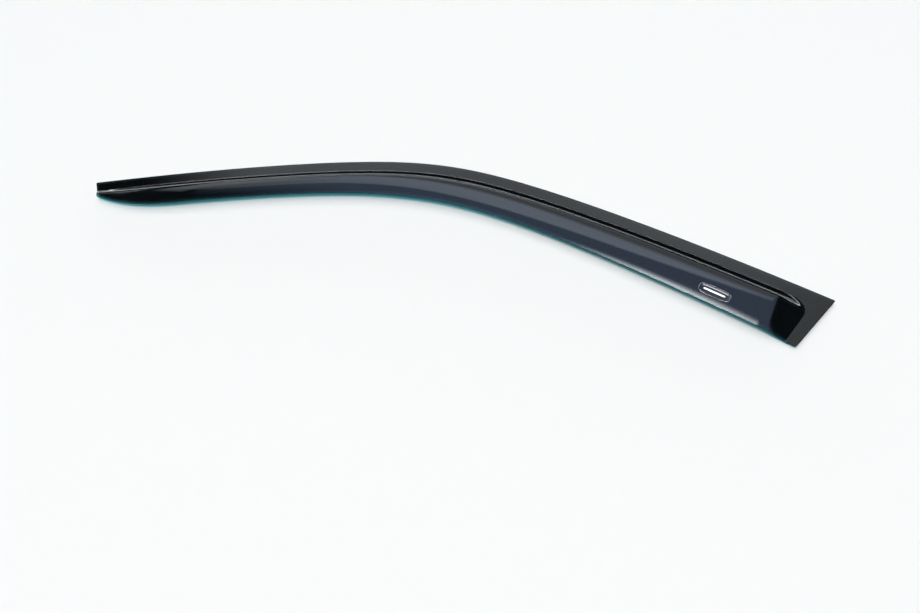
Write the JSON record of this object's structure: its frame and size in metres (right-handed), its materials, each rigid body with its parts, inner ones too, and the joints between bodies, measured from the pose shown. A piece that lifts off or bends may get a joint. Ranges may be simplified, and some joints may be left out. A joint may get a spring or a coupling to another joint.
{
  "type": "window rain deflector",
  "caption": "Smoked acrylic window rain deflector for a car's front door: a bent, crowned visor moulded in one sheet, with a flat flange taped underneath and a closed rear end.",
  "frame": {"origin": "on the mounting plane, under the middle of the top flange at the crown of the bend", "axes": "+X along the visor from the front tip to the square rear end, +Y towards the roof side of the door frame, +Z away from the door"},
  "size_m": [0.995, 0.1799, 0.0169],
  "materials": {
    "smoked_acrylic": "polished smoked acrylic sheet, 3 mm, with a blue-green cast at its cut edges",
    "foam_tape": "matte black closed-cell acrylic foam",
    "release_liner": "thin satin release film"
  },
  "bodies": {
    "root": {"visor": "smoked_acrylic", "tape_top": "foam_tape", "tape_end": "foam_tape", "liner_top": "release_liner", "liner_end": "release_liner"}
  },
  "joints": []
}
